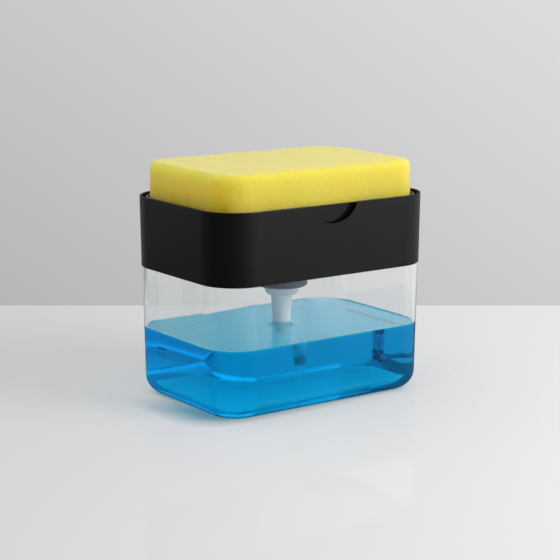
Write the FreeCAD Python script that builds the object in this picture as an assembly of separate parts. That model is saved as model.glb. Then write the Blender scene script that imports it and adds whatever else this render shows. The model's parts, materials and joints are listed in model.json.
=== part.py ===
"""Soap pump caddy: a clear soap tank, a housing with a pump, and a tray that presses the pump."""
import FreeCAD, Part
import math
import os
from collections import namedtuple

# Housing, in millimetres; its outline is taken at the rim
housing_length = 140.0
housing_width = 97.4
housing_corner_radius = 21.4
housing_height = 38.7
housing_draft = 0.5
housing_wall = 1.2
rim_round = 0.45
deck_thickness = 2.0
notch_chord = 31.5
notch_depth = 10.6

# Reservoir and the soap in it
shoulder_height = 71.4
shoulder_gap = 0.3
shoulder_inset = 0.4
reservoir_draft = 1.0
reservoir_floor = 2.4
reservoir_bottom_round = 10.0
reservoir_inner_round = 8.2
spigot_height = 8.0
spigot_wall = 0.8
spigot_clearance = 0.25
soap_headroom = 34.1
soap_wall_gap = 0.1
soap_pump_gap = 0.4

# Tray and sponge
tray_gap = 2.2
tray_wall = 1.3
tray_rim_drop = 0.9
tray_depth = 10.0
tray_floor = 1.8
tray_bottom_round = 1.2
socket_ring_wall = 1.6
socket_ring_height = 2.4
socket_ring_clearance = 0.3
rib_count = 4
rib_height = 1.5
rib_width = 1.6
rib_end_margin = 9.0
sponge_thickness = 27.6
sponge_side_gap = 1.0
sponge_seat_gap = 0.3
sponge_edge_round = 1.3

# Plunger: head, stem, piston and the spring round them
head_diameter = 30.0
head_thickness = 3.2
head_boss_wall = 2.2
head_boss_length = 7.0
head_roof = 1.0
outlet_diameter = 2.4
spout_diameter = 10.0
spout_clearance = 0.3
stem_diameter = 6.4
stem_bore = 3.2
stem_web = 1.0
stem_pocket = 4.2
stem_pocket_depth = 4.9
stem_end_gap = 0.2
seal_length = 6.0
seal_overhang = 0.7
seal_groove = 0.35
seal_lip = 1.4
seal_clearance = 0.05
rod_bore = 1.6
rod_grip = 8.0
rod_flange_thickness = 1.0
rod_flange_diameter = 6.0
push_clearance = 0.05
spring_wire = 1.2
spring_wire_sides = 8
spring_turns = 8
spring_end_closing = 0.45
spring_inner_gap = 0.45
spring_outer_gap = 2.0
spring_seat_gap = 0.1

# Neck, collar, cylinder and dip tube
neck_length = 15.6
neck_wall = 1.9
collar_wall = 3.1
collar_height = 11.0
collar_shoulder = 2.0
collar_chamfer = 0.8
collar_clearance = 0.15
collar_hole_clearance = 0.3
gasket_thickness = 1.0
gasket_hole_gap = 0.5
flange_thickness = 1.5
flange_width = 1.6
cup_wall = 1.4
cup_depth = 7.3
cup_floor = 1.9
cup_round = 3.0
guide_bush_wall = 2.2
guide_disc = 2.0
guide_clearance = 0.1
plunger_stop_gap = 0.3
barrel_length = 31.0
barrel_taper = 15.0
barrel_top_wall = 2.2
barrel_end_wall = 0.95
inlet_port = 2.2
inlet_web = 1.0
cage_height = 4.2
cage_bar = 1.0
cage_wall = 1.1
dip_diameter = 5.6
dip_bore = 3.6
dip_socket_length = 4.4
dip_socket_wall = 0.8
dip_floor_gap = 2.0

# Check balls, each on a seat coned at 45 degrees
inlet_ball_diameter = 4.0
outlet_ball_diameter = 3.0
outlet_port = 1.8
ball_seat_gap = 0.15

# Distance within which two things count as touching
touching = 0.001

Outline = namedtuple("Outline", "length width radius")


def inset(outline, distance):
    """The same outline moved inwards all round."""
    return Outline(outline.length - 2 * distance, outline.width - 2 * distance, outline.radius - distance)


# Heights above the table, from the shoulder up and from the deck down
housing_bottom = shoulder_height + shoulder_gap
housing_top = housing_bottom + housing_height
deck_bottom = shoulder_height + spigot_height
deck_top = deck_bottom + deck_thickness
tray_rim = housing_top - tray_rim_drop
tray_floor_top = tray_rim - tray_depth
tray_underside = tray_floor_top - tray_floor
rib_top = tray_floor_top + rib_height
sponge_bottom = rib_top + sponge_seat_gap
sponge_top = sponge_bottom + sponge_thickness
head_underside = tray_underside - head_thickness
head_boss_end = head_underside - head_boss_length
socket_roof = tray_underside - head_roof
stem_top = socket_roof - stem_end_gap
outlet_seat = stem_top - stem_pocket_depth
neck_end = deck_bottom - neck_length
flange_top = neck_end - gasket_thickness
flange_bottom = flange_top - flange_thickness
collar_bottom = flange_bottom - collar_shoulder
cup_bottom = flange_bottom - cup_depth
guide_bottom = cup_bottom + cup_floor
stem_bottom = guide_bottom - plunger_stop_gap
seal_bottom = stem_bottom - seal_length
taper_bottom = cup_bottom - barrel_taper
barrel_end = cup_bottom - barrel_length
dip_top = barrel_end - inlet_web
dip_socket_end = dip_top - dip_socket_length
dip_bottom = reservoir_floor + dip_floor_gap
soap_top = shoulder_height - soap_headroom

# Radii of the pump, from the stem outwards
stem_radius = stem_diameter / 2
bore_radius = stem_radius + seal_overhang
boss_radius = stem_radius + push_clearance + head_boss_wall
spring_radius = boss_radius + spring_inner_gap + spring_wire / 2
neck_bore_radius = spring_radius + spring_wire / 2 + spring_outer_gap
neck_radius = neck_bore_radius + neck_wall
cup_radius = neck_radius - flange_width
cup_bore_radius = cup_radius - cup_wall
gasket_hole_radius = spring_radius + spring_wire / 2 + gasket_hole_gap
barrel_top_radius = bore_radius + barrel_top_wall
barrel_end_radius = bore_radius + barrel_end_wall
shank_radius = stem_bore / 2 - push_clearance
dip_radius = dip_diameter / 2
dip_socket_radius = dip_radius + push_clearance + dip_socket_wall
inlet_seat_top = barrel_end + bore_radius - inlet_port / 2

# Outlines of the housing, the reservoir and what goes in them
rim_outline = Outline(housing_length, housing_width, housing_corner_radius)
skirt_outline = inset(rim_outline, housing_draft)
shoulder_outline = inset(skirt_outline, shoulder_inset)
base_outline = inset(shoulder_outline, reservoir_draft)
spigot_outline = inset(skirt_outline, housing_wall + spigot_clearance)
reservoir_wall = housing_wall + spigot_clearance + spigot_wall - shoulder_inset
tray_outline = inset(rim_outline, housing_wall + tray_gap)
tray_inner_outline = inset(tray_outline, tray_wall)
sponge_outline = inset(tray_inner_outline, sponge_side_gap)


def point(x, y, z):
    return FreeCAD.Vector(x, y, z)


def outline_wire(outline, height):
    """A rounded rectangle of four lines and four arcs, centred on the Z axis."""
    radius = outline.radius
    arcs = []
    for corner in range(4):
        start = math.pi / 2 * corner
        middle = start + math.pi / 4
        centre_x = math.copysign(outline.length / 2 - radius, math.cos(middle))
        centre_y = math.copysign(outline.width / 2 - radius, math.sin(middle))
        arcs.append([
            point(centre_x + radius * math.cos(angle), centre_y + radius * math.sin(angle), height)
            for angle in (start, middle, start + math.pi / 2)])
    edges = []
    for here, after in zip(arcs, arcs[1:] + arcs[:1]):
        edges.append(Part.Arc(*here).toShape())
        edges.append(Part.makeLine(here[2], after[0]))
    return Part.Wire(edges)


def block(lower, bottom, upper, top):
    """A solid between two outlines, drafted where they differ."""
    return Part.makeLoft([outline_wire(lower, bottom), outline_wire(upper, top)], True, True)


def level_edges(solid, height):
    """The edges of a solid that lie wholly at one height."""
    found = []
    for edge in solid.Edges:
        box = edge.BoundBox
        if max(abs(box.ZMin - height), abs(box.ZMax - height)) < touching:
            found.append(edge)
    return found


def edges_on(solid, outline, height):
    """The edges of a solid that follow an outline at one height."""
    wire = outline_wire(outline, height)
    found = []
    for edge in level_edges(solid, height):
        middle = edge.valueAt((edge.FirstParameter + edge.LastParameter) / 2)
        if Part.Vertex(middle).distToShape(wire)[0] < touching:
            found.append(edge)
    return found


def turned(profile):
    """A closed half-profile of radius and height points, turned about the Z axis."""
    corners = [point(radius, 0, height) for radius, height in profile]
    face = Part.Face(Part.makePolygon(corners + corners[:1]))
    return face.revolve(point(0, 0, 0), point(0, 0, 1), 360)


def rod(radius, bottom, top):
    return Part.makeCylinder(radius, top - bottom, point(0, 0, bottom))


def tube(outer, inner, bottom, top):
    return rod(outer, bottom, top).cut(rod(inner, bottom, top))


def between(lower, bottom, upper, top, height):
    """The outline of a drafted block at a height within or beyond it."""
    share = (height - bottom) / (top - bottom)
    return Outline(*[low + share * (high - low) for low, high in zip(lower, upper)])


def skirt_at(height):
    return between(skirt_outline, housing_bottom, rim_outline, housing_top, height)


def wall_at(height):
    return between(base_outline, 0, shoulder_outline, shoulder_height, height)


def reservoir_cavity(gap, top):
    """The space inside the tank up to a height, smaller all round by a gap."""
    floor = reservoir_floor + gap
    lower = inset(wall_at(floor), reservoir_wall + gap)
    upper = inset(wall_at(top), reservoir_wall + gap)
    cavity = block(lower, floor, upper, top)
    return cavity.makeFillet(reservoir_inner_round, level_edges(cavity, floor))


def make_reservoir():
    """The clear tank, with a stepped rim that goes up inside the housing."""
    tank = block(base_outline, 0, shoulder_outline, shoulder_height)
    tank = tank.makeFillet(reservoir_bottom_round, level_edges(tank, 0))
    spigot = block(spigot_outline, shoulder_height - spigot_height, spigot_outline, deck_bottom)
    return tank.fuse(spigot).cut(reservoir_cavity(0, deck_bottom)).removeSplitter()


def make_soap_fill():
    """The soap, with room round the pump so that the pump lifts out of it."""
    soap = reservoir_cavity(soap_wall_gap, soap_top)
    share = max(soap_top - taper_bottom, 0) / barrel_taper
    barrel_radius = barrel_end_radius + share * (barrel_top_radius - barrel_end_radius)
    steps = [(barrel_radius, barrel_end), (dip_socket_radius, dip_socket_end), (dip_radius, dip_bottom)]
    for radius, bottom in steps:
        soap = soap.cut(rod(radius + soap_pump_gap, bottom - soap_pump_gap, deck_bottom))
    return soap


def make_housing():
    """The band with its deck, the pump neck under the deck and the finger notch in front."""
    band = block(skirt_outline, housing_bottom, rim_outline, housing_top)
    band = band.makeFillet(rim_round, level_edges(band, housing_top))
    well_outline = inset(rim_outline, housing_wall)
    well = block(inset(skirt_at(deck_top), housing_wall), deck_top, well_outline, housing_top)
    skirt_top = inset(skirt_at(deck_bottom), housing_wall)
    skirt = block(inset(skirt_outline, housing_wall), housing_bottom, skirt_top, deck_bottom)
    housing = band.cut(well).cut(skirt)
    housing = housing.makeFillet(rim_round, edges_on(housing, well_outline, housing_top))
    housing = housing.fuse(rod(neck_radius, neck_end, deck_bottom))
    housing = housing.cut(rod(neck_bore_radius, neck_end, deck_top))
    notch_radius = (notch_chord ** 2 / 4 + notch_depth ** 2) / (2 * notch_depth)
    notch_centre = point(0, -housing_width / 2 - housing_wall, housing_top - notch_depth + notch_radius)
    notch = Part.makeCylinder(notch_radius, housing_width / 2, notch_centre, point(0, 1, 0))
    return housing.cut(notch).removeSplitter()


def make_press_tray():
    """The dish under the sponge, with drain ribs, a soap outlet and a ring round the pump head."""
    tray = block(tray_outline, tray_underside, tray_outline, tray_rim)
    tray = tray.makeFillet(tray_bottom_round, level_edges(tray, tray_underside))
    tray = tray.cut(block(tray_inner_outline, tray_floor_top, tray_inner_outline, tray_rim))
    rib_length = tray_inner_outline.length - 2 * rib_end_margin
    rib_pitch = tray_inner_outline.width / (rib_count + 1)
    for index in range(rib_count):
        middle = (index - (rib_count - 1) / 2) * rib_pitch
        corner = point(-rib_length / 2, middle - rib_width / 2, tray_floor_top)
        tray = tray.fuse(Part.makeBox(rib_length, rib_width, rib_height, corner))
    ring_radius = head_diameter / 2 + socket_ring_clearance
    ring_bottom = tray_underside - socket_ring_height
    tray = tray.fuse(tube(ring_radius + socket_ring_wall, ring_radius, ring_bottom, tray_underside))
    outlet = rod(spout_diameter / 2 + spout_clearance, tray_underside, tray_floor_top)
    return tray.cut(outlet).removeSplitter()


def make_sponge():
    """A foam block with soft edges."""
    sponge = block(sponge_outline, sponge_bottom, sponge_outline, sponge_top)
    edges = level_edges(sponge, sponge_bottom) + level_edges(sponge, sponge_top)
    return sponge.makeFillet(sponge_edge_round, edges)


def make_pump_head():
    """The disc that carries the tray, with a socket for the stem and a spout into the tray."""
    socket_radius = stem_radius + push_clearance
    return turned([
        (outlet_diameter / 2, tray_floor_top), (spout_diameter / 2, tray_floor_top),
        (spout_diameter / 2, tray_underside), (head_diameter / 2, tray_underside),
        (head_diameter / 2, head_underside), (boss_radius, head_underside),
        (boss_radius, head_boss_end), (socket_radius, head_boss_end),
        (socket_radius, socket_roof), (outlet_diameter / 2, socket_roof)])


def make_pump_stem():
    """The hollow stem, with a pocket and a coned seat for the outlet ball."""
    cone_top = outlet_seat + stem_pocket / 2 - outlet_port / 2
    web_bottom = outlet_seat - stem_web
    return turned([
        (stem_bore / 2, stem_bottom), (stem_radius, stem_bottom), (stem_radius, stem_top),
        (stem_pocket / 2, stem_top), (stem_pocket / 2, cone_top), (outlet_port / 2, outlet_seat),
        (outlet_port / 2, web_bottom), (stem_bore / 2, web_bottom)])


def make_piston_rod():
    """The hollow rivet that is pushed into the stem and holds the seal from below."""
    flange_bottom_at = seal_bottom - rod_flange_thickness
    return turned([
        (rod_bore / 2, flange_bottom_at), (rod_flange_diameter / 2, flange_bottom_at),
        (rod_flange_diameter / 2, seal_bottom), (shank_radius, seal_bottom),
        (shank_radius, stem_bottom + rod_grip), (rod_bore / 2, stem_bottom + rod_grip)])


def make_piston_seal():
    """A soft ring with two lips that run in the barrel."""
    inner = shank_radius + push_clearance
    lip = bore_radius - seal_clearance
    waist = lip - seal_groove
    return turned([
        (inner, seal_bottom), (lip, seal_bottom), (lip, seal_bottom + seal_lip),
        (waist, seal_bottom + seal_lip + seal_groove), (waist, stem_bottom - seal_lip - seal_groove),
        (lip, stem_bottom - seal_lip), (lip, stem_bottom), (inner, stem_bottom)])


def make_pump_collar():
    """The nut on the neck that clamps the cylinder's flange from below."""
    hole = cup_radius + collar_hole_clearance
    bore = neck_radius + collar_clearance
    top = collar_bottom + collar_height
    outer = bore + collar_wall
    return turned([
        (hole, collar_bottom), (outer - collar_chamfer, collar_bottom), (outer, collar_bottom + collar_chamfer),
        (outer, top), (bore, top), (bore, flange_bottom), (hole, flange_bottom)])


def make_collar_gasket():
    return tube(neck_radius, gasket_hole_radius, flange_top, neck_end)


def make_stem_guide():
    """The bush in the cup that guides the stem and carries the spring."""
    bore = stem_radius + guide_clearance
    bush = bore + guide_bush_wall
    disc = cup_bore_radius - push_clearance
    disc_bottom = flange_top - guide_disc
    return turned([
        (bore, guide_bottom), (bush, guide_bottom), (bush, disc_bottom),
        (disc, disc_bottom), (disc, flange_top), (bore, flange_top)])


def make_pump_cylinder():
    """The flanged cup, the barrel that tapers from it, the inlet seat and the dip tube's socket."""
    cup = rod(cup_radius, cup_bottom, flange_top)
    cup = cup.makeFillet(cup_round, level_edges(cup, cup_bottom))
    flange = rod(neck_radius, flange_bottom, flange_top)
    barrel = rod(barrel_end_radius, barrel_end, taper_bottom)
    taper = Part.makeCone(barrel_end_radius, barrel_top_radius, barrel_taper, point(0, 0, taper_bottom))
    socket = rod(dip_socket_radius, dip_socket_end, barrel_end)
    hollow = turned([
        (0, dip_socket_end), (dip_radius + push_clearance, dip_socket_end),
        (dip_radius + push_clearance, dip_top), (inlet_port / 2, dip_top), (inlet_port / 2, barrel_end),
        (bore_radius, inlet_seat_top), (bore_radius, guide_bottom), (cup_bore_radius, guide_bottom),
        (cup_bore_radius, flange_top), (0, flange_top)])
    return cup.fuse(flange).fuse(taper).fuse(barrel).fuse(socket).cut(hollow).removeSplitter()


def make_ball_cage():
    """The ring and crossbar that keep the inlet ball at the foot of the barrel."""
    outer = bore_radius - push_clearance
    top = inlet_seat_top + cage_height
    ring = tube(outer, outer - cage_wall, inlet_seat_top, top)
    bar = Part.makeBox(2 * outer, cage_bar, cage_bar, point(-outer, -cage_bar / 2, top - cage_bar))
    return ring.fuse(bar.common(rod(outer - push_clearance, inlet_seat_top, top))).removeSplitter()


def seated_ball(diameter, port, seat):
    """A ball just clear of a cone of 45 degrees that narrows to a port."""
    centre = seat + (diameter / 2 + ball_seat_gap) * math.sqrt(2) - port / 2
    return Part.makeSphere(diameter / 2, point(0, 0, centre))


def make_inlet_ball():
    return seated_ball(inlet_ball_diameter, inlet_port, barrel_end)


def make_outlet_ball():
    return seated_ball(outlet_ball_diameter, outlet_port, outlet_seat)


def make_dip_tube():
    return tube(dip_radius, dip_bore / 2, dip_bottom, dip_top)


spring_start = flange_top + spring_seat_gap + spring_wire / 2
spring_rise = head_underside - spring_seat_gap - spring_wire / 2 - spring_start


def spring_point(turns):
    """A point on the spring's centre line; the pitch closes towards both ends."""
    share = turns / spring_turns
    angle = 2 * math.pi * turns
    rise = share - spring_end_closing * math.sin(2 * math.pi * share) / (2 * math.pi)
    height = spring_start + spring_rise * rise
    return point(spring_radius * math.cos(angle), spring_radius * math.sin(angle), height)


def spring_tangent(turns):
    """The unit direction of the spring's centre line."""
    share = turns / spring_turns
    angle = 2 * math.pi * turns
    pitch = spring_rise / spring_turns * (1 - spring_end_closing * math.cos(2 * math.pi * share))
    turn = 2 * math.pi * spring_radius
    return point(-turn * math.sin(angle), turn * math.cos(angle), pitch).normalize()


def arc_edge(start, control, end):
    """The arc that leaves its start and reaches its end along the lines to one control point."""
    chord_middle = (start + end) * 0.5
    weight = (chord_middle - start).Length / (control - start).Length
    middle = (chord_middle + control * weight) * (1 / (1 + weight))
    return Part.Arc(start, middle, end).toShape()


def biarc(start, start_direction, end, end_direction):
    """Two arcs that meet smoothly between two points with given directions."""
    span = end - start
    both = start_direction + end_direction
    turn = 2 * (1 - start_direction.dot(end_direction))
    reach = (math.sqrt(span.dot(both) ** 2 + turn * span.dot(span)) - span.dot(both)) / turn
    first_control = start + start_direction * reach
    second_control = end - end_direction * reach
    joint = (first_control + second_control) * 0.5
    return [arc_edge(start, first_control, joint), arc_edge(joint, second_control, end)]


def make_return_spring():
    """One unbroken wire wound round the stem, swept along quarter turns."""
    edges = []
    for quarter in range(4 * spring_turns):
        start = quarter / 4
        end = start + 0.25
        edges += biarc(spring_point(start), spring_tangent(start), spring_point(end), spring_tangent(end))
    along = spring_tangent(0)
    across = along.cross(point(0, 0, 1)).normalize()
    upwards = across.cross(along)
    corners = []
    for side in range(spring_wire_sides + 1):
        angle = 2 * math.pi * side / spring_wire_sides
        offset = across * math.cos(angle) + upwards * math.sin(angle)
        corners.append(spring_point(0) + offset * (spring_wire / 2))
    return Part.Wire(edges).makePipeShell([Part.makePolygon(corners)], True, False)


def spring_self_gap():
    """The least gap between turns of the spring, measured on points of its centre line."""
    steps = 48
    line = [spring_point(index / steps) for index in range(steps * spring_turns + 1)]
    gaps = []
    for index, here in enumerate(line):
        for other in line[index + steps // 2:]:
            gaps.append((other - here).Length)
    return min(gaps) - spring_wire


makers = [
    make_reservoir, make_soap_fill, make_housing, make_press_tray, make_sponge, make_pump_head, make_pump_stem,
    make_piston_rod, make_piston_seal, make_return_spring, make_pump_collar, make_collar_gasket, make_stem_guide,
    make_pump_cylinder, make_ball_cage, make_inlet_ball, make_outlet_ball, make_dip_tube]

os.makedirs("parts", exist_ok=True)
for maker in makers:
    name = maker.__name__.removeprefix("make_")
    shape = maker()
    shape.exportStep("parts/" + name + ".step")
    print(name, "solids", len(shape.Solids), "valid", shape.isValid(), "volume", round(shape.Volume, 1))
print("least gap between the spring's turns", round(spring_self_gap(), 2))
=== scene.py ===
import json
import math

import bmesh
import bpy
from bpy.props import FloatProperty, FloatVectorProperty, IntProperty, PointerProperty
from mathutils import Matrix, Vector

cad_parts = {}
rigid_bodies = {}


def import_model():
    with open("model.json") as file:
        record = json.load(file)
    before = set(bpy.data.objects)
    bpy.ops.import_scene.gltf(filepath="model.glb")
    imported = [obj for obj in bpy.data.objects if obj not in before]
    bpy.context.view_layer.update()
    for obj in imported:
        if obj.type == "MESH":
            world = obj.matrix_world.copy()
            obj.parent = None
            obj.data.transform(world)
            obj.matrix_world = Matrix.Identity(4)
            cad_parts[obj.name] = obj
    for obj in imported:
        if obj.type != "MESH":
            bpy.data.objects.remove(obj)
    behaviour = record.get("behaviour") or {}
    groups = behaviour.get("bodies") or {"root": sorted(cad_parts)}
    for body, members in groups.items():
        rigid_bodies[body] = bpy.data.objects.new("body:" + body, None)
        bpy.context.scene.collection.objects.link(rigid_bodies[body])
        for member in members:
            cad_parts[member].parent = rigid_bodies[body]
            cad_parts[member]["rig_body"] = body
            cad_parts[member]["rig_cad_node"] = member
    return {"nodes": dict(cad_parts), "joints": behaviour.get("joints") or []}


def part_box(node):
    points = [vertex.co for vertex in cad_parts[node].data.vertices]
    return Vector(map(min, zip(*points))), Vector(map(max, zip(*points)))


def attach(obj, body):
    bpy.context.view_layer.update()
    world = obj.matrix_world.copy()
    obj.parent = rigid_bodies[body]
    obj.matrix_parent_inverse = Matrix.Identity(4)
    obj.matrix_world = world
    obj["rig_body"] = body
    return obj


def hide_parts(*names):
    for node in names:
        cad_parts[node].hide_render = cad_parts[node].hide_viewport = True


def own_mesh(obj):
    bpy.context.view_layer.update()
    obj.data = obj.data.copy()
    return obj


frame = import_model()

bl_info = {
    "name": "Soap pump caddy",
    "version": (1, 0, 0),
    "blender": (4, 5, 0),
    "location": "View3D > Sidebar > Soap caddy",
    "description": "Models and finishes a soap pump caddy round its packed solids, and sets it on a stage",
    "category": "Object",
}

MM = 0.001
OPEN_TOP = "open_top"
BLACK = (0.0, 0.0, 0.0)
WHITE = (1.0, 1.0, 1.0)
UP = Vector((0.0, 0.0, 1.0))
CLEAR_TINTS = ((0.985, 0.99, 0.99), (0.995, 0.998, 0.998))
CLEAR_SHADOW = (0.95, 0.96, 0.965)
PLASTIC_IOR = 1.49
SOAP_IOR = 1.4
NODES = frame["nodes"]
bpy.context.view_layer.update()
TANK_LOW, TANK_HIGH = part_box("reservoir")
SOAP_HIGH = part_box("soap_fill")[1]
SPONGE_LOW, SPONGE_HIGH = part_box("sponge")
HOUSING_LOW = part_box("housing")[0]


def length(name, description, default, **more):
    """A size in metres that the sidebar shows with its unit."""
    return FloatProperty(
        name=name, description=description, default=default, min=0.0, precision=5, unit="LENGTH", **more
    )


def colour(name, description, default):
    """A colour that the sidebar shows as a swatch."""
    return FloatVectorProperty(
        name=name, description=description, default=default, size=3, min=0.0, max=1.0, subtype="COLOR"
    )


class TankSizes(bpy.types.PropertyGroup):
    """Sizes of the clear tank and of the soap in it."""

    length: length("Length", "Tank length at its shoulder", TANK_HIGH.x - TANK_LOW.x)
    width: length("Width", "Tank width at its shoulder", TANK_HIGH.y - TANK_LOW.y)
    rim: length("Rim height", "Height of the rim that goes up inside the housing", TANK_HIGH.z)
    shoulder: length("Shoulder height", "Height of the ledge that the housing stands on", 0.0714)
    corner: length("Corner radius", "Radius of the upright corners at the shoulder", 0.0205)
    draft: length("Draft", "How far each side leans in from shoulder to base", 0.001)
    ledge: length("Ledge", "Width of the shoulder ledge", 0.00105)
    rim_wall: length("Rim wall", "Thickness of the rim's wall", 0.00069)
    wall: length("Wall", "Thickness of the sides", 0.00185)
    floor: length("Floor", "Thickness of the base", 0.0024)
    outer_round: length("Outer round", "Round at the foot of the sides", 0.010)
    inner_round: length("Inner round", "Round where the inside wall meets the base", 0.0082)
    soap_level: length("Soap level", "Height of the soap's flat surface", SOAP_HIGH.z)
    soap_climb: length("Soap climb", "How far the soap climbs the wall", 0.0006)
    barrel_climb: length("Barrel climb", "How far the soap climbs the pump's barrel", 0.0017)
    barrel_radius: length("Barrel radius", "Radius of the pump's barrel at the soap's surface", 0.00485)
    soap_gap: length("Soap gap", "Hair's breadth that keeps the soap's skin off the wall", 0.00004)
    corner_steps: IntProperty(name="Corner steps", description="Faces round an upright corner", default=28, min=4)


class SpongeSizes(bpy.types.PropertyGroup):
    """Sizes of the foam block."""

    corner: length("Corner radius", "Radius of the upright corners", 0.0157)
    top_edge: length("Top edge round", "Round of the worn top edge", 0.0042)
    low_edge: length("Bottom edge round", "Round of the bottom edge", 0.0013)
    grain: length("Mesh grain", "Size of a face of the foam's mesh", 0.0009)
    unevenness: length("Unevenness", "Height of the foam's soft waves", 0.0008)
    pore: length("Pore size", "Distance between pores", 0.0011)


class CaddyColours(bpy.types.PropertyGroup):
    """Colours of the finishes."""

    black: colour("Housing black", "Moulded housing and tray", (0.0042, 0.0042, 0.0045))
    foam: colour("Foam yellow", "Cell walls of the sponge", (0.86, 0.72, 0.10))
    # Painted shade colour, used in the pores and on the foam close to the tray.
    painted_foam_shade: colour("Foam shade", "Pores of the sponge", (0.62, 0.47, 0.035))
    # Painted shading of the sponge's short ends: darker and deeper yellow at the tray, lighter at the top.
    painted_end_low: colour("Foam end, low", "Short ends of the sponge at the tray", (0.62, 0.42, 0.012))
    painted_end_middle: colour("Foam end, middle", "Short ends of the sponge half way up", (0.86, 0.65, 0.035))
    painted_end_high: colour("Foam end, high", "Short ends of the sponge at the top", (0.96, 0.83, 0.085))
    soap: colour("Soap depth", "Light left after one absorbing length of soap", (0.6, 0.944, 0.975))
    wet_wall: colour("Wet wall", "Tint of the wall where the soap lies behind it", (0.003, 0.57, 1.0))
    # Painted shade: this dark tint at the wall's lowest edge stands for the contact shadow under the foot.
    foot_contact_shade: colour("Foot wall", "Tint of the wall's lowest edge", (0.003, 0.17, 0.16))
    soap_shadow: colour("Soap shadow", "Tint of the lamps' light that goes through the soap", (0.22, 0.42, 0.48))
    milky: colour("Milky plastic", "Pump body and stem", (0.95, 0.94, 0.94))
    grey: colour("Collar grey", "Screw collar of the pump", (0.115, 0.125, 0.145))
    rubber: colour("Seal", "Gasket and piston seal", (0.52, 0.53, 0.53))
    steel: colour("Steel", "Spring and balls", (0.62, 0.63, 0.64))
    floor: colour("Floor", "Pale floor", (0.45, 0.45, 0.45))
    floor_glow: colour("Floor glow", "Light that the pale floor adds to the picture", (0.31, 0.31, 0.31))
    floor_shade: colour("Floor shade", "Floor close to the tank's foot", (0.01, 0.06, 0.09))
    shade_glow: colour("Shade glow", "Blue light that the soap throws on the floor at its foot", (0.0, 0.16, 0.26))


class StageSettings(bpy.types.PropertyGroup):
    """Camera, floor and light."""

    azimuth: FloatProperty(
        name="Azimuth", description="Camera's turn about the object", default=math.radians(-35.44), subtype="ANGLE"
    )
    elevation: FloatProperty(
        name="Elevation", description="Camera's height angle", default=math.radians(11.43), subtype="ANGLE"
    )
    distance: length("Distance", "From the camera to the point it looks at", 0.9008)
    aim_height: length("Aim height", "Height of the point that the camera looks at", 0.0616)
    aim_side: FloatProperty(
        name="Aim side", description="How far right of the middle the camera looks", default=-0.00048, unit="LENGTH"
    )
    lens: FloatProperty(
        name="Lens", description="Focal length on a 36 mm sensor", default=104.7, min=1.0, unit="CAMERA"
    )
    floor_side: length("Floor side", "Side of the square floor", 3.0)
    floor_back: length("Floor depth", "From the middle back to the floor's far edge", 0.217)
    floor_drop: length("Floor drop", "How far the floor lies below the tank's foot", 0.0002)
    lamp_aim: length("Lamp aim", "Height of the point that the lamps look at", 0.08)
    key_power: FloatProperty(
        name="Key light", description="Power of the light at the right", default=6.2, min=0.0, unit="POWER"
    )
    key_size: length("Key light size", "Side of the light at the right", 0.5)
    key_right: length("Key light right", "How far right of its aim the key light hangs", 0.85)
    key_near: length("Key light near", "How far in front of its aim the key light hangs", 0.34)
    key_rise: length("Key light rise", "How far above its aim the key light hangs", 0.5)
    top_power: FloatProperty(
        name="Top light", description="Power of the wide light overhead", default=0.5, min=0.0, unit="POWER"
    )
    top_size: length("Top light size", "Side of the wide light overhead", 1.2)
    top_right: length("Top light right", "How far right of its aim the top light hangs", 0.1)
    top_rise: length("Top light rise", "How far above its aim the top light hangs", 1.1)
    bounces: IntProperty(name="Bounces", description="How often light may bounce", default=32, min=1)


class Value:
    """A shader's number or colour that follows Python's arithmetic by adding Math nodes."""

    def __init__(self, finish, socket):
        self.finish = finish
        self.socket = socket

    def maths(self, operation, first, second):
        return self.finish.node("ShaderNodeMath", {"operation": operation}, {0: first, 1: second})

    def __add__(self, other):
        return self.maths("ADD", self, other)

    def __radd__(self, other):
        return self.maths("ADD", other, self)

    def __sub__(self, other):
        return self.maths("SUBTRACT", self, other)

    def __rsub__(self, other):
        return self.maths("SUBTRACT", other, self)

    def __mul__(self, other):
        return self.maths("MULTIPLY", self, other)

    def __rmul__(self, other):
        return self.maths("MULTIPLY", other, self)

    def __truediv__(self, other):
        return self.maths("DIVIDE", self, other)

    def __pow__(self, other):
        return self.maths("POWER", self, other)

    def held(self, low, high):
        """The value kept between two limits."""
        return self.maths("MINIMUM", self.maths("MAXIMUM", self, low), high)

    def rising(self, start, reach):
        """0 up to the start, and 1 from a reach above it."""
        return ((self - start) / reach).held(0.0, 1.0)

    def falling(self, end, reach):
        """1 up to a reach below the end, and 0 from the end on."""
        return ((end - self) / reach).held(0.0, 1.0)


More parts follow.
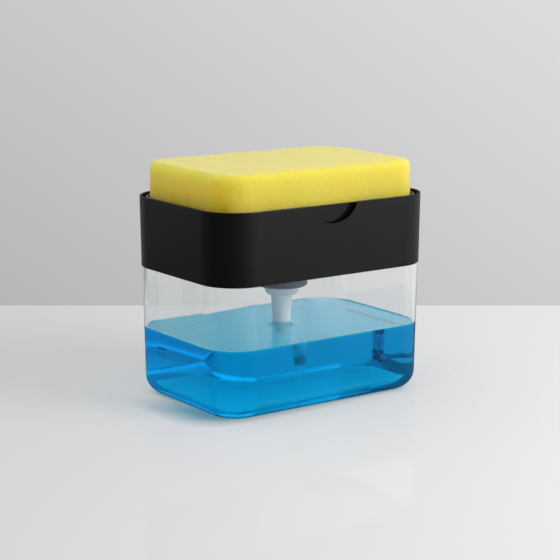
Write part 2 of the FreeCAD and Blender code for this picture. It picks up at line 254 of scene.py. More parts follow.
class Finish:
    """A node tree under way, of a material or of the world."""

    def __init__(self, owner):
        owner.use_nodes = True
        self.owner = owner
        self.tree = owner.node_tree
        self.tree.nodes.clear()

    def node(self, kind, settings=None, inputs=None, output=0):
        """Adds a node, sets it, joins its inputs, and gives one of its outputs."""
        made = self.tree.nodes.new(kind)
        for key, value in (settings or {}).items():
            if key == "stops":
                self.set_stops(made.color_ramp, value)
            else:
                setattr(made, key, value)
        for key, value in (inputs or {}).items():
            socket = self.find(made.inputs, key)
            if isinstance(value, Value):
                self.tree.links.new(value.socket, socket)
            else:
                socket.default_value = self.fitted(socket, value)
        return Value(self, self.find(made.outputs, output))

    def find(self, sockets, key):
        if isinstance(key, int):
            return sockets[key]
        return next(s for s in sockets if s.enabled and key in (s.name, s.identifier))

    def fitted(self, socket, value):
        """A colour written as three numbers gets the alpha that its socket holds."""
        if socket.type == "RGBA" and len(value) == 3:
            return (*value, 1.0)
        return value

    def set_stops(self, ramp, stops):
        while len(ramp.elements) < len(stops):
            ramp.elements.new(1.0)
        for element, (place, tone) in zip(ramp.elements, stops):
            element.position = place
            element.color = (*tone, 1.0) if hasattr(tone, "__len__") else (tone, tone, tone, 1.0)

    def place(self):
        """The surface's point in the object's own frame."""
        return self.node("ShaderNodeTexCoord", output="Object")

    def part(self, vector, axis):
        """One coordinate of a point or a direction."""
        return self.node("ShaderNodeSeparateXYZ", inputs={"Vector": vector}, output=axis)

    def height(self):
        """The surface's height above the floor, in the object's own frame."""
        return self.part(self.place(), "Z")

    def geometry(self, kind):
        return self.node("ShaderNodeNewGeometry", output=kind)

    def noise(self, size, detail, roughness=0.5):
        """Cloudy values from 0 to 1 whose lumps are about that many metres across."""
        return self.node(
            "ShaderNodeTexNoise",
            inputs={"Vector": self.place(), "Scale": 1.0 / size, "Detail": detail, "Roughness": roughness},
            output="Fac",
        )

    def cells(self, size):
        """Distance to the nearest cell point, for cells about that many metres across."""
        return self.node(
            "ShaderNodeTexVoronoi", inputs={"Vector": self.place(), "Scale": 1.0 / size}, output="Distance"
        )

    def ramp(self, value, stops):
        return self.node("ShaderNodeValToRGB", {"stops": stops}, {"Fac": value}, output="Color")

    def mix(self, factor, first, second):
        return self.node(
            "ShaderNodeMix", {"data_type": "RGBA"}, {"Factor": factor, "A": first, "B": second}, output="Result"
        )

    def bump(self, height, strength, depth):
        return self.node(
            "ShaderNodeBump", inputs={"Height": height, "Strength": strength, "Distance": depth}, output="Normal"
        )

    def ray(self, kind):
        return self.node("ShaderNodeLightPath", output=kind)

    def surface(self, inputs):
        return self.node("ShaderNodeBsdfPrincipled", inputs=inputs, output="BSDF")

    def see_through(self, tint):
        return self.node("ShaderNodeBsdfTransparent", inputs={"Color": tint})

    def blend(self, factor, first, second):
        return self.node("ShaderNodeMixShader", inputs={0: factor, 1: first, 2: second})

    def lamp_through(self, shader, tint):
        """Lets the lamps' light go on through a clear piece, tinted."""
        return self.blend(self.ray("Is Shadow Ray"), shader, self.see_through(tint))

    def close(self, shader, volume=None):
        ends = {"Surface": shader}
        if volume is not None:
            ends["Volume"] = volume
        kind = "ShaderNodeOutputWorld" if isinstance(self.owner, bpy.types.World) else "ShaderNodeOutputMaterial"
        end = self.tree.nodes.new(kind)
        for key, value in ends.items():
            self.tree.links.new(value.socket, end.inputs[key])
        return self.owner


def new_finish(name):
    return Finish(bpy.data.materials.new(name))


def toned(colour_value, share):
    """A colour made darker or lighter by a share."""
    return [share * part for part in colour_value]


def black_plastic(colours, name, rough):
    """Fine spark-textured black moulding with faint cloudy differences in gloss, and painted shade on the face that
    the finger notch cuts.
    """
    finish = new_finish(name)
    grain = finish.noise(0.35 * MM, 3.0)
    clouds = finish.noise(18.0 * MM, 3.0)
    shader = finish.surface({
        "Base Color": finish.mix(clouds, toned(colours.black, 0.75), toned(colours.black, 1.25)),
        "Roughness": rough + 0.06 * clouds + 0.06 * grain,
        "IOR": 1.5,
        "Normal": finish.bump(grain, 0.12, 0.06 * MM),
    })
    # Painted shade: a darker matt black on the notch's cut face stands for the shadow inside the notch.
    notch_shade = finish.node("ShaderNodeBsdfDiffuse", inputs={"Color": toned(colours.black, 0.5)})
    return finish.close(finish.blend(notch_shade_mask(finish), shader, notch_shade))


def notch_shade_mask(finish):
    """1 on the face that the finger notch cuts through the housing's front wall, where the painted shade goes."""
    wall_from, wall_to, wall_blur = 0.5 * MM, 1.8 * MM, 0.2 * MM
    half_width_squared, width_blur = 0.0003, 0.00002
    lowest, low_blur = 98.0 * MM, 1.0 * MM
    place = finish.place()
    across = finish.part(place, "X")
    inward = finish.part(place, "Y") - HOUSING_LOW.y
    in_wall = inward.rising(wall_from, wall_blur) * inward.falling(wall_to, wall_blur)
    in_notch = (across * across).falling(half_width_squared, width_blur)
    return in_wall * in_notch * finish.height().rising(lowest, low_blur)


def polished(finish, tone):
    """A clear skin with a tint, very slightly wavy."""
    waves = finish.noise(30.0 * MM, 1.0)
    haze = finish.noise(4.0 * MM, 3.0)
    return finish.surface({
        "Base Color": tone,
        "Roughness": 0.02 * haze * haze,
        "IOR": PLASTIC_IOR,
        "Transmission Weight": 1.0,
        "Normal": finish.bump(waves, 0.04, 0.6 * MM),
    })


def clear_plastic(colours, waterline):
    """Polished clear moulding that takes the soap's tint below the waterline.

    Light that leaves through the wall takes less of it just below the line.
    """
    water_blur, thin_edge = 1.2 * MM, 14.0 * MM
    finish = new_finish("clear_plastic")
    height = finish.height()
    thin = height.rising(waterline - thin_edge, thin_edge) * finish.geometry("Backfacing")
    dry_or_unshaded = height.rising(waterline, water_blur).held(thin, 1.0)
    clear = finish.mix(finish.noise(30.0 * MM, 1.0), *CLEAR_TINTS)
    shader = polished(finish, finish.mix(dry_or_unshaded, colours.wet_wall, clear))
    return finish.close(finish.lamp_through(shader, CLEAR_SHADOW))


def foot_plastic(colours):
    """The clear moulding round the foot, where light that leaves goes straight on to the floor, with a dark painted
    contact shade in its tint at the lowest edge.
    """
    edge, edge_blur = 1.6 * MM, 1.2 * MM
    finish = new_finish("foot_plastic")
    # Painted contact shade: the lowest edge of the wall takes the darker tint.
    tone = finish.mix(finish.height().rising(edge, edge_blur), colours.foot_contact_shade, colours.wet_wall)
    straight = finish.see_through([math.sqrt(part) for part in colours.wet_wall])
    shader = finish.blend(finish.geometry("Backfacing"), polished(finish, tone), straight)
    return finish.close(finish.lamp_through(shader, CLEAR_SHADOW))


def matt_edge():
    """Cut ledge of the tank, left matt from the mould."""
    finish = new_finish("matt_edge")
    grain = finish.noise(0.5 * MM, 3.0)
    return finish.close(finish.surface({
        "Base Color": finish.mix(grain, (0.62, 0.64, 0.65), (0.72, 0.74, 0.75)),
        "Roughness": 0.5 + 0.2 * grain,
    }))


def wet_plastic():
    """Inside wall under the soap: light goes straight on, and the soap's skin bends it."""
    finish = new_finish("wet_plastic")
    darker, lighter = (finish.see_through(tint) for tint in CLEAR_TINTS)
    return finish.close(finish.blend(finish.noise(30.0 * MM, 1.0), darker, lighter))


def blue_soap(colours):
    """Clear blue liquid: the wet wall holds most of its colour, and its depth adds the rest."""
    finish = new_finish("blue_soap")
    ripple = finish.noise(25.0 * MM, 1.0)
    surface = finish.surface({
        "Base Color": finish.mix(ripple, (0.84, 0.85, 0.86), (0.88, 0.88, 0.88)),
        "Roughness": 0.2 + 0.06 * ripple,
        "IOR": SOAP_IOR,
        "Transmission Weight": 1.0,
        "Normal": finish.bump(ripple, 0.05, 0.6 * MM),
    })
    against_wall = finish.surface({
        "Base Color": finish.mix(ripple, (0.985, 0.99, 1.0), WHITE),
        "Roughness": 0.0,
        "IOR": SOAP_IOR / PLASTIC_IOR,
        "Transmission Weight": 1.0,
    })
    open_top = finish.node("ShaderNodeAttribute", {"attribute_name": OPEN_TOP}, output="Fac")
    shader = finish.blend(open_top, against_wall, surface)
    depth = finish.node("ShaderNodeVolumeAbsorption", inputs={"Color": colours.soap, "Density": 80.0})
    return finish.close(finish.lamp_through(shader, colours.soap_shadow), depth)


def yellow_foam(colours, sizes):
    """Open-pored foam with soft cell walls and light that spreads inside, painted shade in its pores and near the
    tray, and painted shading on its short ends, dark and deep yellow at the tray and light at the top.
    """
    tray_edge, dry_or_shade_reach = 109.0 * MM, 13.0 * MM
    end_foot, end_reach = 106.0 * MM, 22.0 * MM
    finish = new_finish("yellow_foam")
    fine = finish.noise(0.6 * MM, 3.0, 0.6)
    patches = finish.noise(15.0 * MM, 3.0)
    pit = finish.ramp(finish.cells(sizes.pore) + 0.35 * fine, [(0.28, 0.0), (0.5, 1.0)])
    hole = finish.ramp(finish.cells(4.2 * MM) + 0.3 * fine, [(0.16, 0.0), (0.3, 1.0)])
    height = finish.height()
    # Painted shade: the foam is made darker towards the tray, where the tray's rim shades it.
    dry_or_unshaded = height.rising(tray_edge, dry_or_shade_reach)
    walls = finish.mix(patches, toned(colours.foam, 0.94), colours.foam)
    walls = finish.mix(0.7 + 0.3 * dry_or_unshaded, colours.painted_foam_shade, walls)
    endways = finish.part(finish.geometry("Normal"), "X")
    # Painted shading: the short ends go from dark at the tray to light at the top.
    painted_end_shading = finish.ramp(
        (height - end_foot) / end_reach,
        [(0.0, colours.painted_end_low), (0.5, colours.painted_end_middle), (1.0, colours.painted_end_high)],
    )
    at_end = (endways * endways).rising(0.2, 0.5)
    walls = finish.mix(at_end, walls, painted_end_shading)
    shader = finish.surface({
        # Painted shade: the pores are darker than the cell walls.
        "Base Color": finish.mix(0.72 + 0.28 * pit * hole, colours.painted_foam_shade, walls),
        "Roughness": 0.88 + 0.1 * fine,
        "Subsurface Weight": 1.0,
        "Subsurface Radius": (1.0, 0.8, 0.2),
        "Subsurface Scale": 12.0 * MM,
        "Sheen Weight": 0.35,
        "Sheen Roughness": 0.5,
        "Specular IOR Level": 0.15,
        "Normal": finish.bump(pit * 0.6 + hole * 1.6 + fine * 0.8, 0.35, 0.5 * MM),
    })
    return finish.close(shader)


def milky_plastic(colours, name="milky_plastic", wet=False):
    """Natural translucent moulding of the pump."""
    wet_to, dry_or_shade_reach = 30.0 * MM, 9.0 * MM
    foot_top, foot_blur = 22.2 * MM, 0.6 * MM
    finish = new_finish(name)
    clouds = finish.noise(6.0 * MM, 2.0)
    inputs = {
        "Base Color": finish.mix(clouds, toned(colours.milky, 0.94), colours.milky),
        "Roughness": 0.28 + 0.12 * clouds,
        "IOR": 1.5,
        "Subsurface Weight": 0.7,
        "Subsurface Radius": (1.0, 1.0, 1.0),
        "Subsurface Scale": 3.0 * MM,
        "Normal": finish.bump(clouds, 0.06, 0.2 * MM),
    }
    if wet:
        dry_or_unshaded = finish.height().rising(wet_to, dry_or_shade_reach)
        foot = 1.0 - finish.height().rising(foot_top, foot_blur)
        inputs["Base Color"] = finish.mix(foot, inputs["Base Color"], toned(colours.milky, 0.35))
        inputs["Alpha"] = dry_or_unshaded + (1.0 - dry_or_unshaded) * (0.2 + 0.2 * foot)
    return finish.close(finish.surface(inputs))


def barrel_plastic(colours):
    """Milky barrel that turns nearly clear where the soap wets it, and darker and less clear at its foot."""
    return milky_plastic(colours, "barrel_plastic", wet=True)


def dip_plastic(colours):
    """Thin soft tube, nearly clear when it is wet."""
    finish = new_finish("dip_plastic")
    clouds = finish.noise(4.0 * MM, 2.0)
    return finish.close(finish.surface({
        "Base Color": finish.mix(clouds, toned(colours.milky, 0.9), colours.milky),
        "Roughness": 0.3 + 0.15 * clouds,
        "Alpha": 0.1 + 0.06 * clouds,
    }))


def grey_plastic(colours):
    """Satin grey moulding of the screw collar."""
    finish = new_finish("grey_plastic")
    grain = finish.noise(0.4 * MM, 3.0)
    clouds = finish.noise(8.0 * MM, 2.0)
    return finish.close(finish.surface({
        "Base Color": finish.mix(clouds, toned(colours.grey, 0.85), toned(colours.grey, 1.1)),
        "Roughness": 0.4 + 0.1 * clouds,
        "Normal": finish.bump(grain, 0.1, 0.05 * MM),
    }))


def seal_rubber(colours):
    """Soft pale rubber with a powdery grain."""
    finish = new_finish("seal_rubber")
    grain = finish.noise(0.3 * MM, 3.0)
    clouds = finish.noise(4.0 * MM, 2.0)
    return finish.close(finish.surface({
        "Base Color": finish.mix(clouds, toned(colours.rubber, 0.88), colours.rubber),
        "Roughness": 0.68 + 0.12 * grain,
        "Normal": finish.bump(grain, 0.15, 0.04 * MM),
    }))


def spring_steel(colours):
    """Bright drawn wire with fine streaks."""
    finish = new_finish("spring_steel")
    streaks = finish.noise(0.5 * MM, 3.0)
    clouds = finish.noise(3.0 * MM, 2.0)
    return finish.close(finish.surface({
        "Base Color": finish.mix(clouds, toned(colours.steel, 0.86), colours.steel),
        "Metallic": 1.0,
        "Roughness": 0.2 + 0.14 * streaks,
        "Normal": finish.bump(streaks, 0.08, 0.03 * MM),
    }))


def deselect_all():
    if bpy.context.object and bpy.context.object.mode != "OBJECT":
        bpy.ops.object.mode_set(mode="OBJECT")
    bpy.ops.object.select_all(action="DESELECT")


def rounded_plate(name, long, wide, height, corner, steps):
    """A flat plate with rounded corners, open in edit mode with its face chosen."""
    deselect_all()
    bpy.ops.mesh.primitive_plane_add(size=1.0, location=(0.0, 0.0, height))
    piece = bpy.context.object
    piece.name = name
    piece.data.name = name
    piece.scale = (long, wide, 1.0)
    bpy.ops.object.transform_apply(location=True, rotation=True, scale=True)
    bpy.ops.object.mode_set(mode="EDIT")
    bpy.ops.mesh.select_mode(type="VERT")
    bpy.ops.mesh.select_all(action="SELECT")
    bpy.ops.mesh.bevel(offset=corner, segments=steps, affect="VERTICES")
    bpy.ops.mesh.select_mode(type="FACE")
    bpy.ops.mesh.select_all(action="SELECT")
    return piece


def step_in(inward, rise):
    """Narrows the chosen face and moves it up or down, which leaves a sloping wall round it."""
    bpy.ops.mesh.inset(thickness=inward, depth=0.0)
    bpy.ops.transform.translate(value=(0.0, 0.0, rise))


def go_up(rise):
    """Pulls the chosen face straight up or down, which leaves an upright wall round it."""
    bpy.ops.mesh.extrude_region_move(TRANSFORM_OT_translate={"value": (0.0, 0.0, rise)})


def round_face_edge(radius, steps):
    """Rounds the edge of the chosen face."""
    bpy.ops.mesh.region_to_loop()
    bpy.ops.mesh.bevel(offset=radius, segments=steps, affect="EDGES", clamp_overlap=False)


def drop_skirt(fall, lean, long, wide):
    """Pulls the open border down to a closed base that leans in, and chooses that base."""
    bpy.ops.mesh.select_mode(type="EDGE")
    bpy.ops.mesh.select_all(action="DESELECT")
    bpy.ops.mesh.select_non_manifold()
    bpy.ops.mesh.extrude_region_move(TRANSFORM_OT_translate={"value": (0.0, 0.0, -fall)})
    bpy.ops.transform.resize(value=(1.0 - 2.0 * lean / long, 1.0 - 2.0 * lean / wide, 1.0))
    bpy.ops.mesh.edge_face_add()


def turn_outwards():
    """Joins doubled points, turns all faces outwards and leaves edit mode."""
    bpy.ops.mesh.select_all(action="SELECT")
    bpy.ops.mesh.remove_doubles(threshold=1e-7)
    bpy.ops.mesh.normals_make_consistent(inside=False)
    bpy.ops.object.mode_set(mode="OBJECT")


def close_shell(piece):
    """Turns the faces outwards and smooths the rounds without bending the flats."""
    turn_outwards()
    bpy.ops.object.shade_smooth_by_angle(angle=math.radians(32.0), keep_sharp_edges=False)
    modifier = piece.modifiers.new("flats", "WEIGHTED_NORMAL")
    modifier.keep_sharp = True
    modifier.weight = 100
    bpy.ops.object.modifier_apply(modifier=modifier.name)


def dress(piece, *materials):
    """Gives a piece its finishes, the first of them to all its faces."""
    piece.data.materials.clear()
    for material in materials:
        piece.data.materials.append(material)


def finish_node(name, material):
    """Gives a solid of the frame its finish."""
    node = NODES[name]
    for slot in node.material_slots:
        slot.material = material


def seat(piece, body, slot, *nodes):
    """Lets a piece ride on a body and stand for its solids."""
    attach(piece, body)
    if nodes:
        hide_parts(*nodes)


class CADDY_OT_make_tank(bpy.types.Operator):
    """Models the clear tank with its stepped rim, drafted sides and rounded foot"""

    bl_idname = "caddy.make_tank"
    bl_label = "Make tank"

    def execute(self, context):
        sizes = context.scene.caddy_tank
        piece = rounded_plate(
            "clear_tank", sizes.length, sizes.width, sizes.shoulder, sizes.corner, sizes.corner_steps
        )
        step_in(sizes.ledge, 0.0)
        go_up(sizes.rim - sizes.shoulder)
        step_in(sizes.rim_wall, 0.0)
        lean = sizes.draft / sizes.shoulder
        contact = sizes.soap_level + sizes.soap_climb
        step_in(lean * (sizes.rim - contact), contact - sizes.rim)
        step_in(lean * (contact - sizes.floor), sizes.floor - contact)
        round_face_edge(sizes.inner_round, steps=10)
        drop_skirt(sizes.shoulder, sizes.draft, sizes.length, sizes.width)
        round_face_edge(sizes.outer_round, steps=16)
        close_shell(piece)
        colours = context.scene.caddy_colours
        waterline = sizes.soap_level - 0.6 * MM
        dress(piece, clear_plastic(colours, waterline), wet_plastic(), foot_plastic(colours), matt_edge())
        self.share_out(piece, contact)
        seat(piece, "tank", "clear_plastic", "reservoir")
        return {"FINISHED"}

    def share_out(self, piece, contact):
        """Gives the wet inside, the foot and the ledges their own finishes."""
        wet, foot, ledge = 1, 2, 3
        foot_slope, ledge_slope = -0.72, 0.9
        for face in piece.data.polygons:
            inwards = face.normal.xy.dot(face.center.xy) <= 1e-7
            if face.normal.z < foot_slope:
                face.material_index = foot
            elif face.normal.z > ledge_slope and face.center.z > contact:
                face.material_index = ledge
            elif inwards and face.center.z < contact:
                face.material_index = wet


class CADDY_OT_make_soap(bpy.types.Operator):
    """Models the soap with the curved edge where it climbs the tank's wall"""

    bl_idname = "caddy.make_soap"
    bl_label = "Make soap"

    def execute(self, context):
        sizes = context.scene.caddy_tank
        lean = sizes.draft / sizes.shoulder
        contact = sizes.soap_level + sizes.soap_climb
        inset = sizes.wall + sizes.soap_gap + (sizes.shoulder - contact) * lean
        long = sizes.length - 2.0 * inset
        wide = sizes.width - 2.0 * inset
        piece = rounded_plate("blue_soap", long, wide, contact, sizes.corner - inset, sizes.corner_steps)
        steps, fade = (0.2, 0.45, 0.8, 1.25, 1.8, 2.6), 0.7
        reach, height = 0.0, 1.0
        for step in steps:
            lower = math.exp(-step / fade) if step < steps[-1] else 0.0
            step_in((step - reach) * MM, (lower - height) * sizes.soap_climb)
            reach, height = step, lower
        bottom = sizes.floor + sizes.soap_gap
        drop_skirt(contact - bottom, lean * (contact - bottom), long, wide)
        round_face_edge(sizes.inner_round, steps=10)
        turn_outwards()
        self.climb_barrel(piece, sizes)
        close_shell(piece)
        upward = 0.05
        marks = piece.data.attributes.new(OPEN_TOP, "FLOAT", "FACE")
        for face in piece.data.polygons:
            marks.data[face.index].value = float(face.normal.z > upward)
        dress(piece, blue_soap(context.scene.caddy_colours))
        seat(piece, "tank", "blue_soap", "soap_fill")
        return {"FINISHED"}

    def climb_barrel(self, piece, sizes):
        """Adds the small hill where the soap climbs the pump's barrel."""
        steps, fade = (5.8, 5.1, 3.6, 2.6, 1.9, 1.35, 0.85, 0.45, 0.15, 0.0), 1.2
        sunk, foot_contact_shade = 0.4 * MM, 0.2 * MM
        foot = sizes.barrel_radius + steps[0] * MM
        deselect_all()
        bpy.ops.mesh.primitive_circle_add(
            vertices=72, radius=foot, fill_type="NGON", location=(0.0, 0.0, sizes.soap_level - sunk)
        )
        hill = bpy.context.object
        bpy.ops.object.transform_apply(location=True)
        bpy.ops.object.mode_set(mode="EDIT")
        bpy.ops.mesh.select_mode(type="FACE")
        bpy.ops.mesh.select_all(action="SELECT")
        go_up(foot_contact_shade)
        reach, height = steps[0], foot_contact_shade - sunk
        for step in steps[1:]:
            higher = sizes.barrel_climb * math.exp(-step / fade)
            step_in((reach - step) * MM, higher - height)
            reach, height = step, higher
        turn_outwards()
        deselect_all()
        piece.select_set(True)
        bpy.context.view_layer.objects.active = piece
        modifier = piece.modifiers.new("hill", "BOOLEAN")
        modifier.operation = "UNION"
        modifier.solver = "EXACT"
        modifier.object = hill
        bpy.ops.object.modifier_apply(modifier=modifier.name)
        bpy.data.objects.remove(hill)
        bpy.ops.object.mode_set(mode="EDIT")


class CADDY_OT_make_sponge(bpy.types.Operator):
    """Models the foam block with soft edges and an uneven skin"""

    bl_idname = "caddy.make_sponge"
    bl_label = "Make sponge"

    def execute(self, context):
        sizes = context.scene.caddy_sponge
        size = SPONGE_HIGH - SPONGE_LOW
        piece = rounded_plate("foam_sponge", size.x, size.y, SPONGE_LOW.z, sizes.corner, steps=14)
        go_up(size.z)
        for low, edge in ((True, sizes.low_edge), (False, sizes.top_edge)):
            self.choose_flat(piece, low)
            round_face_edge(edge, steps=6)
        bpy.ops.mesh.select_all(action="SELECT")
        bpy.ops.mesh.normals_make_consistent(inside=False)
        bpy.ops.object.mode_set(mode="OBJECT")
        self.cut_to_cells(piece, sizes)
        self.rough_up(piece, "foam_waves", 14.0 * MM, sizes.unevenness)
        self.rough_up(piece, "foam_cells", 2.8 * MM, 0.35 * sizes.unevenness)
        bpy.ops.object.shade_smooth()
        dress(piece, yellow_foam(context.scene.caddy_colours, sizes))
        seat(piece, "sponge_block", "yellow_foam", "sponge")
        return {"FINISHED"}

    def choose_flat(self, piece, low):
        """Chooses the block's bottom or top, the two faces with many corners."""
        bpy.ops.mesh.select_mode(type="FACE")
        bpy.ops.mesh.select_all(action="DESELECT")
        mesh = bmesh.from_edit_mesh(piece.data)
        faces = [f for f in mesh.faces if len(f.verts) > 8]
        pick = min if low else max
        pick(faces, key=lambda f: f.calc_center_median().z).select_set(True)
        bmesh.update_edit_mesh(piece.data)

    def cut_to_cells(self, piece, sizes):
        modifier = piece.modifiers.new("cells", "REMESH")
        modifier.mode = "VOXEL"
        modifier.voxel_size = sizes.grain
        modifier.use_smooth_shade = True
        bpy.ops.object.modifier_apply(modifier=modifier.name)

    def rough_up(self, piece, name, scale, height):
        """Moves the skin in and out by a soft cloud pattern."""
        texture = bpy.data.textures.new(name, "CLOUDS")
        texture.noise_scale = scale
        texture.noise_depth = 1
        modifier = piece.modifiers.new(name, "DISPLACE")
        modifier.texture = texture
        modifier.texture_coords = "LOCAL"
        modifier.strength = height
        modifier.mid_level = 0.6
        bpy.ops.object.modifier_apply(modifier=modifier.name)


class CADDY_OT_make_spring(bpy.types.Operator):
    """Copies the wound spring, gives it a steel finish and lets it ride on the upper housing"""

    bl_idname = "caddy.make_spring"
    bl_label = "Make spring"

    def execute(self, context):
        deselect_all()
        piece = NODES["return_spring"].copy()
        piece.data = NODES["return_spring"].data.copy()
        piece.parent = None
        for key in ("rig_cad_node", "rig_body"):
            del piece[key]
        piece.name = "coil_spring"
        piece.data.name = "coil_spring"
        context.collection.objects.link(piece)
        context.view_layer.objects.active = piece
        piece.select_set(True)
        bpy.ops.object.mode_set(mode="EDIT")
        bpy.ops.mesh.select_all(action="SELECT")
        bpy.ops.mesh.remove_doubles(threshold=1e-6)
        bpy.ops.object.mode_set(mode="OBJECT")
        bpy.ops.object.shade_smooth_by_angle(angle=math.radians(50.0))
        dress(piece, spring_steel(context.scene.caddy_colours))
        seat(piece, "upper_housing", "spring_steel", "return_spring")
        low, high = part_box("return_spring")
        stroke = next(j for j in frame["joints"] if j["name"] == "pump_stroke")["range_m"][1]
        kept = 1.0 - stroke / (high.z - low.z)
        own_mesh(piece)
        return {"FINISHED"}


class CADDY_OT_finish_mouldings(bpy.types.Operator):
    """Gives the housing and the tray their black finish"""

    bl_idname = "caddy.finish_mouldings"
    bl_label = "Finish housing and tray"

    def execute(self, context):
        colours = context.scene.caddy_colours
        finish_node("housing", black_plastic(colours, "black_plastic", rough=0.36))
        finish_node("press_tray", black_plastic(colours, "tray_plastic", rough=0.18))
        return {"FINISHED"}


class CADDY_OT_finish_pump(bpy.types.Operator):
    """Gives the pump's parts their finishes"""

    bl_idname = "caddy.finish_pump"
    bl_label = "Finish pump"

    def execute(self, context):
        colours = context.scene.caddy_colours
        groups = [
            (barrel_plastic, ("pump_cylinder",)),
            (milky_plastic, ("pump_head", "pump_stem", "piston_rod", "stem_guide", "ball_cage")),
            (dip_plastic, ("dip_tube",)),
            (grey_plastic, ("pump_collar",)),
            (seal_rubber, ("collar_gasket", "piston_seal")),
            (spring_steel, ("inlet_ball", "outlet_ball")),
        ]
        for make, names in groups:
            material = make(colours)
            for name in names:
                finish_node(name, material)
        return {"FINISHED"}


class CADDY_OT_set_stage(bpy.types.Operator):
    """Sets the floor, the backdrop, the lamps and the camera"""

    bl_idname = "caddy.set_stage"
    bl_label = "Set stage"

    def execute(self, context):
        stage = context.scene.caddy_stage
        turn = stage.azimuth
        self.right = Vector((math.cos(turn), math.sin(turn), 0.0))
        self.ahead = Vector((-math.sin(turn), math.cos(turn), 0.0))
        self.lay_floor(context, stage)
        self.light_world(context)
        self.hang_lamps(context, stage)
        self.set_camera(context, stage)
        context.scene.view_settings.view_transform = "Standard"
        for limit in ("max_bounces", "glossy_bounces", "transmission_bounces", "transparent_max_bounces"):
            setattr(context.scene.cycles, limit, stage.bounces)
        return {"FINISHED"}

    def lay_floor(self, context, stage):
        deselect_all()
        middle = self.ahead * (stage.floor_back - stage.floor_side / 2.0)
        bpy.ops.mesh.primitive_plane_add(
            size=stage.floor_side,
            location=(middle.x, middle.y, -stage.floor_drop),
            rotation=(0.0, 0.0, stage.azimuth),
        )
        floor = context.object
        floor.name = "floor"
        bpy.ops.object.transform_apply(location=True, rotation=True, scale=True)
        dress(floor, self.pale_floor(context))

    def pale_floor(self, context):
        """Pale, faintly mirroring floor with painted light: lighter to the right, a darker painted tone for glossy
        faces, a painted blue shade at the tank's foot, and a painted glow where the tank shows it.
        """
        colours = context.scene.caddy_colours
        finish = new_finish("pale_floor")
        soft = finish.noise(400.0 * MM, 2.0)
        side = self.reach(finish, finish.place(), self.right)
        ahead = self.reach(finish, finish.place(), self.ahead)
        direct = finish.ray("Is Camera Ray")
        # Painted light: the floor is made lighter to the right, where the key lamp hangs, with soft random patches.
        lighter = (side * 1.2 + 0.4 + 0.1 * soft).held(0.0, 1.0)
        pale = finish.mix(lighter, toned(colours.floor, 0.78), toned(colours.floor, 1.5))
        # Painted reflection: a darker floor tone, lighter to the right, that only glossy faces see.
        mirrored = finish.ramp(side + 0.5, [(0.55, 0.06), (0.95, 0.42)])
        tone = finish.mix(finish.ray("Is Glossy Ray"), pale, mirrored)
        shade = self.foot_shade(context, finish, ahead) * direct
        bright = finish.mix(direct, BLACK, colours.floor_glow)
        shader = finish.surface({
            "Base Color": finish.mix(shade, tone, colours.floor_shade),
            "Roughness": 0.03 + 0.02 * soft,
            "IOR": 1.09,
            "Emission Color": finish.mix(shade, bright, colours.shade_glow),
            "Emission Strength": 1.0,
        })
        # Painted glow: the floor that the tank shows glows, brighter to the right and dimmer in front.
        lighting = finish.ray("Diffuse Depth").held(0.0, 1.0)
        painted_glow_front_fade = ((ahead + 0.2) / 0.1).held(0.3, 1.0).held(lighting, 1.0)
        painted_glow_right = (side - 0.06).held(0.0, 0.25)
        strength = (0.65 + 1.5 * painted_glow_right) * painted_glow_front_fade
        glow = finish.node("ShaderNodeEmission", inputs={"Color": WHITE, "Strength": strength})
        return finish.close(finish.blend(finish.ray("Is Transmission Ray"), shader, glow))

    def foot_shade(self, context, finish, ahead):
        """1 on the floor close to the tank's foot, with a wider and weaker shade at its left."""
        close_shift, close_reach = 1.0 * MM, 8.0 * MM
        left_shift, left_reach, left_share = 12.0 * MM, 18.0 * MM, 0.7
        left_to, left_blur = -20.0 * MM, 25.0 * MM
        contact = self.off_foot(context, finish, close_shift).falling(close_reach, close_reach)
        left = self.off_foot(context, finish, left_shift).falling(left_reach, left_reach)
        left = left * ahead.falling(left_to, left_blur)
        return (contact * contact).held(left_share * left, 1.0)

    def off_foot(self, context, finish, shift):
        """How far a point of the floor is from the flat of the tank's foot, moved left by the shift."""
        sizes = context.scene.caddy_tank
        inward = sizes.draft + sizes.outer_round
        corner = sizes.corner - inward
        out = []
        for axis, size, share in (("X", sizes.length, self.right.x), ("Y", sizes.width, self.right.y)):
            along = finish.part(finish.place(), axis) + shift * share
            over = ((along * along) ** 0.5 - (size / 2.0 - inward - corner)).held(0.0, 1.0)
            out.append(over * over)
        return (out[0] + out[1]) ** 0.5 - corner

    def light_world(self, context):
        """Sets a backdrop for what the camera sees, also through the tank, and a room for all else."""
        world = bpy.data.worlds.new("studio")
        context.scene.world = world
        finish = Finish(world)
        direction = finish.node("ShaderNodeTexCoord", output="Generated")
        along = self.reach(finish, direction, self.ahead)
        side = self.reach(finish, direction, self.right)
        high = self.reach(finish, direction, UP)
        through = finish.ray("Is Transmission Ray")
        seen = finish.ray("Is Camera Ray").held(through, 1.0)
        backdrop = self.backdrop(finish, along, side, high, through)
        level = seen * backdrop + (1.0 - seen) * self.surroundings(finish, along, side)
        finish.close(finish.node("ShaderNodeBackground", inputs={"Color": WHITE, "Strength": level}))

    def backdrop(self, finish, along, side, high, through):
        """Wall that brightens to the right and darkens upwards, and the dim room before it that the tank shows."""
        lighting = finish.ray("Diffuse Depth").held(0.0, 1.0)
        low_part = 0.6 * high.held(-1.0, 0.0) - 0.8 * high.held(0.0, 0.25)
        top_part = 2.0 * (high - 0.25).held(0.0, 0.2)
        wall = (0.666 + 0.425 * side + low_part - top_part).held(0.2, 0.85)
        room = ((along + 0.95) / 0.3).held(0.3, 1.0) * (1.0 - 0.17 * side.rising(0.4, 0.3))
        room = room.held(lighting, 1.0).held(1.0 - through, 1.0)
        glint = (7.0 * (side + 0.035)).held(0.0, 0.45) * high.rising(0.0, 0.05)
        return wall * room * (1.0 + through * (0.19 + 0.45 * lighting)) + through * glint

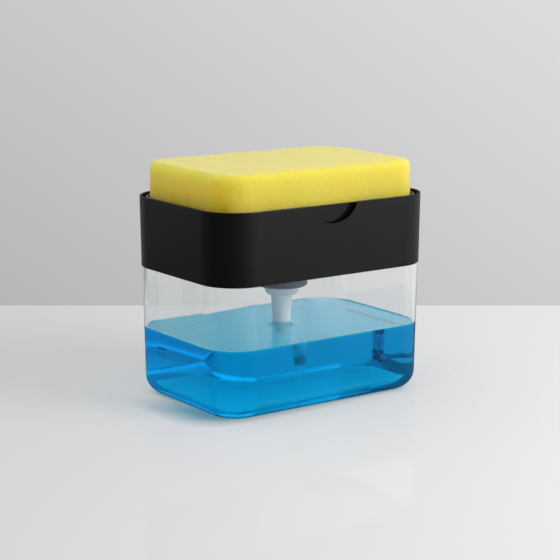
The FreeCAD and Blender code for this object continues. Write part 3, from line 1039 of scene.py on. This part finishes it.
    def surroundings(self, finish, along, side):
        """What glossy faces mirror, and what lights the matt ones."""
        far = finish.ramp(along * 0.5 + 0.5, [(0.3, 0.05), (0.8, 0.36)])
        lift = finish.ramp(side * 0.5 + 0.5, [(0.55, 0.0), (0.9, 0.12)])
        from_left = 0.36 * (0.0 - side).held(0.0, 1.0)
        from_front = 0.22 * (0.0 - along).held(0.0, 1.0)
        mirrored = finish.ray("Is Glossy Ray")
        return mirrored * (far + lift) + (1.0 - mirrored) * (0.47 + from_left + from_front)

    def reach(self, finish, direction, axis):
        """How far a point or a direction goes along an axis."""
        return finish.node(
            "ShaderNodeVectorMath", {"operation": "DOT_PRODUCT"}, {0: direction, 1: tuple(axis)}, output="Value"
        )

    def hang_lamps(self, context, stage):
        target = UP * stage.lamp_aim
        key = self.right * stage.key_right - self.ahead * stage.key_near + UP * stage.key_rise
        top = self.right * stage.top_right + UP * stage.top_rise
        lamps = (
            ("key", key, stage.key_power, stage.key_size),
            ("top", top, stage.top_power, stage.top_size),
        )
        for name, way, power, side in lamps:
            lamp = bpy.data.lights.new(name, "AREA")
            lamp.shape = "SQUARE"
            lamp.size = side
            lamp.energy = power
            holder = bpy.data.objects.new(name, lamp)
            context.collection.objects.link(holder)
            holder.location = target + way
            holder.rotation_euler = (-way).to_track_quat("-Z", "Y").to_euler()
            holder.visible_transmission = False

    def set_camera(self, context, stage):
        turn, rise = stage.azimuth, stage.elevation
        back = Vector((math.sin(turn) * math.cos(rise), -math.cos(turn) * math.cos(rise), math.sin(rise)))
        aim = self.right * stage.aim_side + UP * stage.aim_height
        lens = bpy.data.cameras.new("camera")
        lens.lens = stage.lens
        lens.sensor_width = 36.0
        camera = bpy.data.objects.new("camera", lens)
        context.collection.objects.link(camera)
        camera.location = aim + back * stage.distance
        camera.rotation_euler = (-back).to_track_quat("-Z", "Y").to_euler()
        context.scene.camera = camera


class CADDY_PT_sidebar(bpy.types.Panel):
    """Lists the caddy's sizes, colours and steps"""

    bl_idname = "CADDY_PT_sidebar"
    bl_label = "Soap pump caddy"
    bl_space_type = "VIEW_3D"
    bl_region_type = "UI"
    bl_category = "Soap caddy"

    def draw(self, context):
        for name in GROUPS:
            group = getattr(context.scene, name)
            box = self.layout.box()
            for key in group.__annotations__:
                box.prop(group, key)
        for step in STEPS:
            self.layout.operator(step.bl_idname)


STEPS = (
    CADDY_OT_make_tank,
    CADDY_OT_make_soap,
    CADDY_OT_make_sponge,
    CADDY_OT_make_spring,
    CADDY_OT_finish_mouldings,
    CADDY_OT_finish_pump,
    CADDY_OT_set_stage,
)
GROUPS = {
    "caddy_tank": TankSizes,
    "caddy_sponge": SpongeSizes,
    "caddy_colours": CaddyColours,
    "caddy_stage": StageSettings,
}


def register():
    for made in (*GROUPS.values(), *STEPS, CADDY_PT_sidebar):
        bpy.utils.register_class(made)
    for name, group in GROUPS.items():
        setattr(bpy.types.Scene, name, PointerProperty(type=group))


def unregister():
    for name in GROUPS:
        delattr(bpy.types.Scene, name)
    for made in reversed((*GROUPS.values(), *STEPS, CADDY_PT_sidebar)):
        bpy.utils.unregister_class(made)


def main():
    register()
    bpy.ops.caddy.make_tank()
    bpy.ops.caddy.make_soap()
    bpy.ops.caddy.make_sponge()
    bpy.ops.caddy.make_spring()
    bpy.ops.caddy.finish_mouldings()
    bpy.ops.caddy.finish_pump()
    bpy.ops.caddy.set_stage()


if __name__ == "__main__":
    main()
